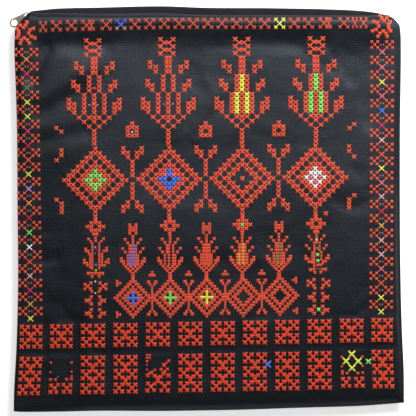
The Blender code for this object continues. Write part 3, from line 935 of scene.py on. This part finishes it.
topBorder = {
    # (x, width share)
    "places": (
        (42.9, 0.7), (56.3, 1), (71.2, 1), (86.4, 1), (91.2, 0.6), (106.0, 1), (120.7, 1),
        (134.8, 1), (149.6, 1), (164.2, 1), (178.8, 1), (193.2, 1), (207.7, 1), (221.9, 1),
        (236.5, 1), (250.3, 1), (264.7, 1), (279.6, 1), (294.2, 1), (308.4, 1), (324.0, 1),
        (328.4, 0.6), (343.8, 1), (354.7, 0.5), (363.4, 0.7),
    ),
    "heights": (
        (40, 27.0), (56, 26.0), (90, 25.3), (135, 24.3), (180, 23.5), (260, 23.5), (365, 23.0),
    ),
    "step": 3.8, "thick": 0.85,
    "colours": {120.7: "blue", 279.6: "yellow"},
}
corner = {
    "places": ((24.0, 33.3, 1), (383.0, 26.4, -1)),
    "dots": (
        (-5.5, -10.6), (-3.7, -8.0), (-0.7, -5.7), (1.4, -8.0), (2.9, -11.1), (-7.0, -4.3),
        (-5.4, -1.8), (-5.2, 0.4), (-5.9, 2.5), (-7.4, 4.7), (9.3, -4.7), (5.7, -3.4), (4.4, -0.1),
        (7.0, 3.2), (10.6, 4.7), (-4.0, 10.1), (-2.7, 6.8), (-0.1, 4.7), (3.2, 7.0), (5.2, 10.1),
    ),
    "size": 3.5,
}


def stitchTopBorder():
    step = topBorder["step"]
    for x, share in topBorder["places"]:
        y = float(through(topBorder["heights"], x))
        colour = topBorder["colours"].get(x, "brick")
        upper, lower = ("violet", "beige") if colour == "blue" else (colour, colour)
        known, thick = {"X": upper, "x": lower}, topBorder["thick"]
        chart(("X.X", "...", "x.x"), x, y - step, step * share, step, known, thick)
        cross(x, y, step * 1.5 * share, step * 1.5, colour, thick)
    for x, y, side in corner["places"]:
        for dx, dy in corner["dots"]:
            cross(x + side * dx, y + dy, corner["size"], corner["size"], "red", 1.25)


blocks = {
    "lefts": (19.6, 49.8, 80.8, 113.4, 145.8, 178.3, 210.7, 242.9, 275.1, 307.5, 339.8, 371.2),
    "wides": (3.08, 3.1, 3.3, 3.28, 3.28, 3.28, 3.28, 3.28, 3.28, 3.25, 3.22, 2.9),
    "high": (3.28, 3.43), "firstTop": (325.0, 318.2), "secondTop": (357.0, 350.0),
    "leans": (-0.25, -0.14, -0.05, 0, 0, 0, 0, 0, 0.02, 0.05, 0.12, 0.15),
    "upper": ("K.H.H.K", ".N...N.", "H.H.H.H", "...#...", "H.H.H.H", ".N...N.", "K.H.H.K"),
    "lower": (
        "K.H.H.K", ".N...N.", "H.H.H.H", "...#...", "H.H.H.H", ".N...N.", "H.H.H.H", "...#...",
        "H.H.H.H", ".N...N.", "K.H.H.K",
    ),
    "sizes": {"K": 4.7, "H": 4.2, "N": 5.1},  # of the corner, inner and middle crosses
    "relief": 0.0003, "thick": 1.14,
    # (x, y, size) of what is left of three worn blocks
    "remains": (
        (50.8, 362.7, 2.3), (71.5, 362.7, 2.3), (50.2, 372.2, 2.0), (71.5, 371.8, 2.1),
        (50.3, 379.7, 3.0), (55.3, 379.7, 3.0), (66.4, 379.4, 3.0), (71.3, 379.2, 2.9),
        (71.4, 376.4, 2.0), (50.8, 385.6, 4.1), (57.8, 384.8, 3.5), (63.2, 384.8, 3.6),
        (70.3, 385.3, 4.1), (54.5, 388.2, 4.6), (66.6, 388.2, 4.6), (50.2, 392.1, 4.5),
        (56.1, 392.5, 3.6), (63.5, 391.9, 4.1), (69.7, 391.8, 4.5),
        (146.9, 355.2, 2.3), (149.7, 355.2, 2.2), (146.7, 358.0, 2.2), (149.6, 358.0, 2.2),
        (147.0, 361.4, 2.4), (146.8, 365.1, 1.6), (146.9, 369.7, 1.8), (168.6, 360.9, 3.0),
        (166.7, 362.8, 2.2), (163.8, 365.1, 4.2), (160.9, 369.6, 3.0), (167.3, 369.2, 3.0),
        (164.7, 371.5, 3.2), (154.8, 370.2, 2.4), (151.6, 372.4, 3.0), (147.4, 375.6, 4.1),
        (149.5, 373.5, 3.3), (154.5, 376.0, 3.9), (163.1, 373.7, 4.0), (168.3, 375.6, 4.4),
        (160.6, 376.9, 3.7), (147.7, 383.7, 4.0), (154.5, 384.0, 3.5), (161.5, 383.3, 3.5),
        (168.3, 383.3, 4.2), (150.9, 386.6, 4.8), (164.4, 386.2, 4.8), (147.1, 390.7, 4.5),
        (153.8, 390.4, 3.7), (161.2, 390.7, 3.7), (167.6, 390.7, 4.5),
        (341.7, 357.1, 2.5), (362.2, 356.8, 2.6), (341.8, 366.6, 2.0), (362.7, 366.2, 2.1),
        (342.3, 371.4, 2.4), (342.3, 373.6, 2.6), (347.0, 373.4, 2.7), (357.8, 373.4, 3.1),
        (362.7, 372.8, 2.6), (342.8, 379.0, 4.0), (349.0, 378.7, 3.6), (355.8, 378.7, 3.6),
        (362.2, 378.7, 4.1), (346.1, 382.5, 4.6), (359.1, 382.5, 4.6), (343.1, 385.9, 4.2),
        (349.5, 386.1, 3.4), (356.4, 385.8, 4.0), (362.6, 385.8, 4.2),
    ),
    "blossom": ((351.7, 354.2), (346.0, 361.1), (358.2, 361.2), (352.0, 368.0)),
}


# A tall cross closed at its top and bottom.
def hourglass(x, y):
    cross(x, y, 5.2, 5.4, "scarlet", 1.1)
    for side in (-2.9, 2.9):
        cross(x, y + side, 4.4, 0.4, "scarlet")


def stitchBlocks():
    span = blocks["lefts"][-1] - blocks["lefts"][0]
    for i, (left, wide, lean) in enumerate(zip(blocks["lefts"], blocks["wides"], blocks["leans"])):
        share = (left - blocks["lefts"][0]) / span
        rows = (("upper", "firstTop", 0),)
        if i not in (1, 4, 10):
            rows += (("lower", "secondTop", 1),)
        for name, line, second in rows:
            high = blocks["high"][second]
            top = blocks[line][0] + (blocks[line][1] - blocks[line][0]) * share + 2.1
            for r, row in enumerate(blocks[name]):
                for c, letter in enumerate(row):
                    x, y = left + 2.1 + c * wide + (lean * r if second else 0), top + r * high
                    if letter == "#":
                        hourglass(x, y)
                    elif letter != ".":
                        size = blocks["sizes"][letter]
                        cross(x, y, size * wide / 3.28, size, "scarlet", blocks["thick"])
    hourglass(157.7, 379.5)
    for x, y, size in blocks["remains"]:
        cross(x, y, size, size, "scarlet", blocks["thick"])
    for x, y in blocks["blossom"]:
        cross(x, y, 7.6, 7.4, "yellow", 1.2)
    cross(57.8, 376.9, 1.8, 1.6, "slate")
    cross(368.4, 361.5, 5.6, 5.6, "green", 1.15)
    cross(267.5, 364.3, 7.8, 7.6, "blue", 1.2)


# The stitched blocks stand a little proud of the channels between them.
def blockRelief(x, y):
    px, py = toPhoto(x, y)
    total = np.zeros_like(px)
    span = blocks["lefts"][-1] - blocks["lefts"][0]
    for left in blocks["lefts"]:
        share = (left - blocks["lefts"][0]) / span
        for tops, tall in ((blocks["firstTop"], 24.0), (blocks["secondTop"], 39.0)):
            top = tops[0] + (tops[1] - tops[0]) * share
            dx = np.maximum(abs(px - left - 12.2) - 9.5, 0) / 4.0
            dy = np.maximum(abs(py - top - tall / 2) - tall / 2 + 2.5, 0) / 4.0
            total += np.exp(-(dx**2) - dy**2)
    return blocks["relief"] * np.minimum(total, 1)


stitch = {
    "width": 0.00132, "length": 0.97, "rise": 0.00052, "sink": 0.00012, "sides": 6, "segments": 5,
    # A short stitch is thinner: the share at no length, and the length that adds a whole share
    "least": 0.42, "fullLength": 0.0075,
}


# One thread of a stitch: an arch of unit length whose ends go into the cloth.
def strandShape():
    bm = bmesh.new()
    fibre = []
    rings = []
    for i in range(stitch["segments"] + 1):
        t = i / stitch["segments"] * 2 - 1
        arch = 1 - abs(t) ** 3
        thin = 1 - 0.35 * abs(t) ** 4
        verts = []
        for k in range(stitch["sides"]):
            turn = 2 * math.pi * (k + 0.5) / stitch["sides"]
            up = arch + 0.45 * thin * math.sin(turn) - 0.25
            verts.append(bm.verts.new((t / 2, 0.5 * thin * math.cos(turn), up)))
            fibre.append((t / 2, turn, 0))
        rings.append(verts)
    for a, b in zip(rings, rings[1:]):
        for k in range(len(a)):
            m = (k + 1) % len(a)
            bm.faces.new((a[k], b[k], b[m], a[m]))
    bm.faces.new(rings[0])
    bm.faces.new(list(reversed(rings[-1])))
    bmesh.ops.recalc_face_normals(bm, faces=bm.faces)
    mesh = bpy.data.meshes.new("strand")
    bm.to_mesh(mesh)
    bm.free()
    layer = mesh.attributes.new("fibre", "FLOAT_VECTOR", "POINT")
    layer.data.foreach_set("vector", np.array(fibre).ravel())
    mesh.shade_smooth()
    shape = bpy.data.objects.new("strand", mesh)
    bpy.context.scene.collection.objects.link(shape)
    return shape


def node(tree, kind, settings=None, values=None):
    made = tree.nodes.new(kind)
    for key, value in (settings or {}).items():
        setattr(made, key, value)
    for key, value in (values or {}).items():
        if hasattr(value, "is_output"):
            tree.links.new(value, made.inputs[key])
        else:
            made.inputs[key].default_value = value
    return made


def startTree(name, inputs):
    tree = bpy.data.node_groups.new(name, "GeometryNodeTree")
    tree.interface.new_socket("Geometry", in_out="OUTPUT", socket_type="NodeSocketGeometry")
    tree.interface.new_socket("Geometry", in_out="INPUT", socket_type="NodeSocketGeometry")
    for label, kind in inputs:
        tree.interface.new_socket(label, in_out="INPUT", socket_type=kind)
    return tree, tree.nodes.new("NodeGroupInput"), tree.nodes.new("NodeGroupOutput")


def endTree(tree, geometry, material, finish):
    real = node(tree, "GeometryNodeRealizeInstances", values={"Geometry": geometry})
    values = {"Geometry": real.outputs[0], "Material": material}
    done = node(tree, "GeometryNodeSetMaterial", values=values)
    tree.links.new(done.outputs[0], finish.inputs["Geometry"])


# Puts a shape on each point, turned and stretched by the point's own attributes.
def strandTree():
    tree, start, finish = startTree(
        "stitches", (("Strand", "NodeSocketObject"), ("Floss", "NodeSocketMaterial"))
    )
    turn, reach = (
        node(tree, "GeometryNodeInputNamedAttribute", {"data_type": "FLOAT_VECTOR"}, {"Name": name})
        for name in ("turn", "reach")
    )
    spin = node(tree, "FunctionNodeEulerToRotation", values={"Euler": turn.outputs[0]})
    shape = node(tree, "GeometryNodeObjectInfo", values={"Object": start.outputs["Strand"]})
    copies = node(
        tree, "GeometryNodeInstanceOnPoints",
        values={
            "Points": start.outputs["Geometry"], "Instance": shape.outputs["Geometry"],
            "Rotation": spin.outputs[0], "Scale": reach.outputs[0],
        },
    )
    endTree(tree, copies.outputs[0], start.outputs["Floss"], finish)
    return tree


# Runs a tree on an object and keeps the result as a plain mesh.
def runTree(base, tree, values, name, material):
    modifier = base.modifiers.new("nodes", "NODES")
    modifier.node_group = tree
    for item in tree.interface.items_tree:
        if item.in_out == "INPUT" and item.name in values:
            modifier[item.identifier] = values[item.name]
    graph = bpy.context.evaluated_depsgraph_get()
    graph.update()
    mesh = bpy.data.meshes.new_from_object(base.evaluated_get(graph))
    base.modifiers.remove(modifier)
    bpy.data.objects.remove(base)
    mesh.name = name
    for extra in ("turn", "reach"):
        if extra in mesh.attributes:
            mesh.attributes.remove(mesh.attributes[extra])
    return showPiece(name, mesh, material)


# A function that finds the cloth under a pixel, seen from the camera.
def clothFinder(piece):
    graph = bpy.context.evaluated_depsgraph_get()
    tree = BVHTree.FromObject(piece, graph)
    eye = Vector((*fromPhoto(*photo["centre"]), view["height"]))

    def find(px, py):
        target = Vector((*fromPhoto(px, py), view["seamHeight"]))
        hit, normal, _, _ = tree.ray_cast(eye, target - eye)
        if hit is None:
            hit, normal, _, _ = tree.find_nearest(target)
        return hit, normal
    return find


# Two strands for each cross, the second over the first.
def strandPoints(find, chosen):
    places, turns, reaches, colours = [], [], [], []
    for x, y, width, height, colour, thick in chosen:
        for k, (sx, sy) in enumerate(((1, 1), (1, -1))):
            first, normalA = find(x - sx * width / 2, y - sy * height / 2)
            last, normalB = find(x + sx * width / 2, y + sy * height / 2)
            middle, normalC = find(x, y)
            along = last - first
            length = along.length
            if length < 1e-5:
                continue
            along.normalize()
            up = (normalA + normalB + normalC).normalized()
            side = up.cross(along).normalized()
            up = along.cross(side)
            turn = Matrix((along, side, up)).transposed().to_euler()
            level = max((middle - (first + last) / 2).dot(up), 0)
            places.append((first + last) / 2 + up * (level - stitch["sink"]))
            turns.append(turn)
            size = thick * min(1.0, stitch["least"] + length / stitch["fullLength"])
            rise = stitch["rise"] * size * (1.0 + 0.75 * k)
            reaches.append((length * stitch["length"], stitch["width"] * size, rise))
            colours.append((*thread[colour], 1))
    return places, turns, reaches, colours


def stitchPiece(name, find, chosen, tree, shape, material):
    places, turns, reaches, colours = strandPoints(find, chosen)
    mesh = bpy.data.meshes.new(name)
    mesh.from_pydata([tuple(p) for p in places], [], [])
    for label, kind, field, values in (
        ("turn", "FLOAT_VECTOR", "vector", turns), ("reach", "FLOAT_VECTOR", "vector", reaches),
        ("thread", "FLOAT_COLOR", "color", colours),
    ):
        layer = mesh.attributes.new(label, kind, "POINT")
        layer.data.foreach_set(field, np.array([tuple(v) for v in values]).ravel())
    base = bpy.data.objects.new(name + "Points", mesh)
    bpy.context.scene.collection.objects.link(base)
    return runTree(base, tree, {"Strand": shape, "Floss": material}, name, material)


def makeEmbroidery(front, material):
    for work in (
        stitchBigTrees, stitchDiamonds, stitchForks, stitchBlossoms, stitchLittleTrees,
        stitchWornTrees, stitchWornColumns, stitchSideBorders, stitchTopBorder, stitchBlocks,
    ):
        work()
    find = clothFinder(front)
    tree, shape = strandTree(), strandShape()
    for name, first, last in (
        ("upperStitches", 0, 150), ("middleStitches", 150, 262), ("lowerStitches", 262, 330),
        ("blockStitches", 330, 416),
    ):
        chosen = [c for c in crosses if first <= c[1] < last]
        piece = stitchPiece(name, find, chosen, tree, shape, material)
        triangles = sum(len(p.vertices) - 2 for p in piece.data.polygons)
        print(name, len(chosen), "crosses,", triangles, "triangles")
        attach(piece, "pouch")
    bpy.data.objects.remove(shape)


# Zipper

zipper = {
    "start": 0.0445, "end": 0.945, "coilEnd": 0.932, "tape": 0.0010, "under": 0.0070, "bend": 16,
    "stations": 160, "chainInset": 0.0039,
    "chain": ((0.035, 0.45), (0.051, 0.78), (0.070, 0.94), (0.100, 1.0), (0.930, 1.0)),
    "loopPitch": 0.00115, "loopAcross": 0.0021, "loopWire": 0.00026,
}


def topLine(share):
    down = through(outline["top"], share)
    return (share - 0.5) * outline["width"], outline["height"] * (0.5 - down)


# The front tape with its fold round the top edge.
def makeTape(material):
    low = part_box("zipper_tape_front")[0].z + zipper["tape"] / 2
    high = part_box("zipper_tape_front")[1].z - zipper["tape"] / 2
    radius = (high - low) / 2
    centre = radius + zipper["tape"] / 2
    shares = np.linspace(zipper["start"], zipper["end"], zipper["stations"])
    points = []
    for share in shares:
        x, y = topLine(share)
        inset = zipper["chainInset"] * through(zipper["chain"], share) - 0.00015
        profile = [(inset, low)]
        for i in range(zipper["bend"] + 1):
            turn = math.pi * i / zipper["bend"]
            profile.append((centre - radius * math.sin(turn), low + radius * (1 - math.cos(turn))))
        reach = outline["tapeShown"] * through(outline["band"], share) + zipper["under"]
        for i in range(1, 9):
            profile.append((centre + (reach - centre) * i / 8, high))
        points.append([(x, y - d, z) for d, z in profile])
    rows = len(points[0])
    grid = np.array(points, float).transpose(1, 0, 2).reshape(-1, 3)
    mesh = gridMesh("tapeFold", grid, len(shares), rows)
    tape = showPiece("tapeFold", mesh, material)
    wall = tape.modifiers.new("wall", "SOLIDIFY")
    wall.thickness = zipper["tape"]
    wall.offset = 0
    wall.use_even_offset = True
    return tape


# One turn of the zipper's coil, across the chain.
def loopShape():
    bpy.ops.mesh.primitive_torus_add(
        major_segments=12, minor_segments=5, major_radius=0.5,
        minor_radius=zipper["loopWire"] / zipper["loopAcross"],
    )
    loop = bpy.context.object
    loop.name = "loop"
    loop.data.transform(Matrix.Rotation(math.pi / 2, 4, "Y"))
    loop.data.transform(Matrix.Rotation(0.22, 4, "Z"))
    loop.data.shade_smooth()
    return loop


# Resamples a path and puts a coil turn at each point, across the path.
def coilTree():
    tree, start, finish = startTree(
        "coilTurns",
        (
            ("Turn", "NodeSocketObject"), ("Pitch", "NodeSocketFloat"),
            ("Size", "NodeSocketVector"), ("Plastic", "NodeSocketMaterial"),
        ),
    )
    path = node(tree, "GeometryNodeMeshToCurve", values={"Mesh": start.outputs["Geometry"]})
    values = {"Curve": path.outputs[0], "Length": start.outputs["Pitch"]}
    even = node(tree, "GeometryNodeResampleCurve", {"mode": "LENGTH"}, values)
    tangent = node(tree, "GeometryNodeInputTangent")
    values = {"Vector": tangent.outputs[0]}
    spin = node(tree, "FunctionNodeAlignRotationToVector", {"axis": "X"}, values)
    shape = node(tree, "GeometryNodeObjectInfo", values={"Object": start.outputs["Turn"]})
    copies = node(
        tree, "GeometryNodeInstanceOnPoints",
        values={
            "Points": even.outputs[0], "Instance": shape.outputs["Geometry"],
            "Rotation": spin.outputs[0], "Scale": start.outputs["Size"],
        },
    )
    endTree(tree, copies.outputs[0], start.outputs["Plastic"], finish)
    return tree


# The middle line of one row of turns.
def coilLine(shift):
    low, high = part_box("zipper_coil")
    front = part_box("slider")
    start = (low.x + 0.0002) / outline["width"] + 0.5
    sliderY = (front[0].y + front[1].y) / 2
    points = []
    for share in np.linspace(start, zipper["coilEnd"], 90):
        x, y = topLine(share)
        inset = zipper["chainInset"] * through(zipper["chain"], share)
        t = min(max((x - low.x - 0.0085) / 0.0085, 0), 1)
        level = t * t * (3 - 2 * t)
        points.append((x, sliderY + (y - inset - sliderY) * level + shift, (low.z + high.z) / 2))
    return points


def makeCoil(material):
    tree, shape = coilTree(), loopShape()
    low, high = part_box("zipper_coil")
    tall = (high.z - low.z) * 0.92
    rows = []
    for shift in (-0.00092, 0.00092):
        points = coilLine(shift)
        if shift > 0:
            points[0] = tuple(Vector(points[0]) + Vector((zipper["loopPitch"] / 2, 0, 0)))
        mesh = bpy.data.meshes.new("coilLine")
        mesh.from_pydata(points, [(i, i + 1) for i in range(len(points) - 1)], [])
        base = bpy.data.objects.new("coilLine", mesh)
        bpy.context.scene.collection.objects.link(base)
        values = {
            "Turn": shape, "Pitch": zipper["loopPitch"],
            "Size": (zipper["loopAcross"], zipper["loopAcross"], tall), "Plastic": material,
        }
        rows.append(runTree(base, tree, values, "coilTurns", material))
    first, second = rows
    joined = bmesh.new()
    joined.from_mesh(first.data)
    joined.from_mesh(second.data)
    joined.to_mesh(first.data)
    joined.free()
    bpy.data.objects.remove(second)
    bpy.data.objects.remove(shape)
    return first


pull = {
    "thickness": 0.0009, "reach": 0.0133, "ring": 0.00365, "ringHole": 0.0025, "eye": 0.0023,
    "eyeLength": 0.00335, "eyeWidth": 0.0028, "eyeCorner": 0.0009, "bar": 0.0008,
    "edge": 0.00018, "lift": 0.0001,
}


def circlePoints(x, radius, steps=48):
    turns = [2 * math.pi * i / steps for i in range(steps)]
    return [(x + radius * math.cos(t), radius * math.sin(t)) for t in turns]


# The pull with softened edges, in place on its hinge line.
def makePull(material):
    trim = pull["edge"]
    ringR, eyeR = pull["ring"] - trim, pull["eye"] - trim
    eyeX = pull["eye"] - pull["bar"] / 2
    lean = math.asin((ringR - eyeR) / (pull["reach"] - eyeX))
    edge = []
    for centre, radius, start, end in (
        (pull["reach"], ringR, -math.pi / 2 - lean, math.pi / 2 + lean),
        (eyeX, eyeR, math.pi / 2 + lean, 3 * math.pi / 2 - lean),
    ):
        for i in range(25):
            turn = start + (end - start) * i / 24
            edge.append((centre + radius * math.cos(turn), radius * math.sin(turn)))
    x0, x1 = pull["bar"] / 2 - trim, pull["bar"] / 2 + pull["eyeLength"] + trim
    half, bend = pull["eyeWidth"] / 2 + trim, pull["eyeCorner"]
    eye = []
    for x, y, start in (
        (x1 - bend, half - bend, 0), (x0 + bend, half - bend, 90),
        (x0 + bend, bend - half, 180), (x1 - bend, bend - half, 270),
    ):
        for i in range(7):
            turn = math.radians(start + 15 * i)
            eye.append((x + bend * math.cos(turn), y + bend * math.sin(turn)))
    curve = bpy.data.curves.new("pull", "CURVE")
    curve.dimensions = "2D"
    curve.fill_mode = "BOTH"
    curve.extrude = pull["thickness"] / 2 - trim
    curve.bevel_depth = trim
    curve.bevel_resolution = 2
    for points in (edge, circlePoints(pull["reach"], pull["ringHole"] + trim), eye):
        spline = curve.splines.new("POLY")
        spline.points.add(len(points) - 1)
        for point, (x, y) in zip(spline.points, points):
            point.co = (x, y, 0, 1)
        spline.use_cyclic_u = True
    holder = bpy.data.objects.new("pullCurve", curve)
    bpy.context.scene.collection.objects.link(holder)
    graph = bpy.context.evaluated_depsgraph_get()
    mesh = bpy.data.meshes.new_from_object(holder.evaluated_get(graph))
    bpy.data.objects.remove(holder)
    joint = frame["joints"][0]
    hinge = Vector(joint["axis"]).normalized()
    heading = math.atan2(hinge.y, hinge.x) - math.pi / 2
    pivot = Vector(joint["pos_m"])
    drop = pivot.z - pull["thickness"] / 2 - pull["lift"]
    tilt = math.asin(drop / (pull["reach"] + pull["ring"]))
    mesh.transform(Matrix.Translation(pivot) @ Euler((0, tilt, heading)).to_matrix().to_4x4())
    bm = bmesh.new()
    bm.from_mesh(mesh)
    bmesh.ops.remove_doubles(bm, verts=bm.verts, dist=1e-6)
    bmesh.ops.recalc_face_normals(bm, faces=bm.faces)
    bm.to_mesh(mesh)
    bm.free()
    mesh.shade_smooth()
    mesh.set_sharp_from_angle(angle=math.radians(40))
    return showPiece("pullTab", mesh, material)


# Stage and light

studio = {
    "floor": 6, "drop": 0.0001, "grain": 300.0, "dim": rgb(244, 244, 244),
    "pale": rgb(250, 250, 250), "glow": 0.7, "roughness": 0.9, "world": 0.06,
    # (name, place, size, power)
    "lamps": (
        ("keySoftbox", (0.38, 0.60, 0.84), (0.52, 0.46), 13.5),
        ("fillSoftbox", (-0.6, -1.5, 0.75), (1.2, 0.8), 4),
    ),
}


def makeStage():
    bpy.ops.mesh.primitive_plane_add(size=studio["floor"], location=(0, 0, -studio["drop"]))
    floor = bpy.context.object
    floor.name = "floor"
    kit = Kit("paleFloor")
    grain = kit.noise(kit.add("ShaderNodeTexCoord", out="Object"), studio["grain"])
    colour = kit.ramp(grain, (0.0, studio["dim"]), (1.0, studio["pale"]))
    floor.data.materials.append(kit.surface({
        "Base Color": colour, "Roughness": studio["roughness"], "Emission Color": colour,
        "Emission Strength": studio["glow"],
    }))


def makeLight():
    world = bpy.data.worlds.new("room")
    world.use_nodes = True
    background = world.node_tree.nodes["Background"]
    background.inputs["Color"].default_value = (1, 1, 1, 1)
    background.inputs["Strength"].default_value = studio["world"]
    bpy.context.scene.world = world
    for name, place, size, power in studio["lamps"]:
        light = bpy.data.lights.new(name, "AREA")
        light.shape = "RECTANGLE"
        light.size, light.size_y = size
        light.energy = power
        lamp = bpy.data.objects.new(name, light)
        lamp.location = place
        lamp.rotation_euler = (-Vector(place)).to_track_quat("-Z", "Y").to_euler()
        bpy.context.scene.collection.objects.link(lamp)
    bpy.context.scene.view_settings.view_transform = "Standard"


makeCamera()
makeStage()
makeLight()
print("stage ready")

black = sateenMaterial()
woven = tapeMaterial()
floss = threadMaterial()
front = panel("frontCloth", cloth["step"], 0.0013, frontTop, frontHeights, -1, black, settle())
back = panel("backCloth", cloth["backStep"], 0.0013, backTop, backHeights, 1, black)
print("cloth ready", len(front.data.polygons), len(back.data.polygons))
makeEmbroidery(front, floss)
for piece, cadNode in ((front, "front_panel"), (back, "back_panel")):
    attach(piece, "pouch")
    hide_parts(cadNode)
print("embroidery ready", len(crosses))

tape = makeTape(woven)
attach(tape, "pouch")
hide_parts("zipper_tape_front")
coil = makeCoil(coilMaterial())
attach(coil, "pouch")
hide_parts("zipper_coil")
frame["nodes"]["zipper_tape_back"].data.materials.clear()
frame["nodes"]["zipper_tape_back"].data.materials.append(woven)
frame["nodes"]["slider"].data.materials.clear()
cast = nickelMaterial("sliderNickel", (0.52, 0.52, 0.48), 0.8)
frame["nodes"]["slider"].data.materials.append(cast)
tab = makePull(nickelMaterial("pullNickel", (0.56, 0.55, 0.44), 0.45))
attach(tab, "pull")
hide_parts("pull_tab")
print("zipper ready")
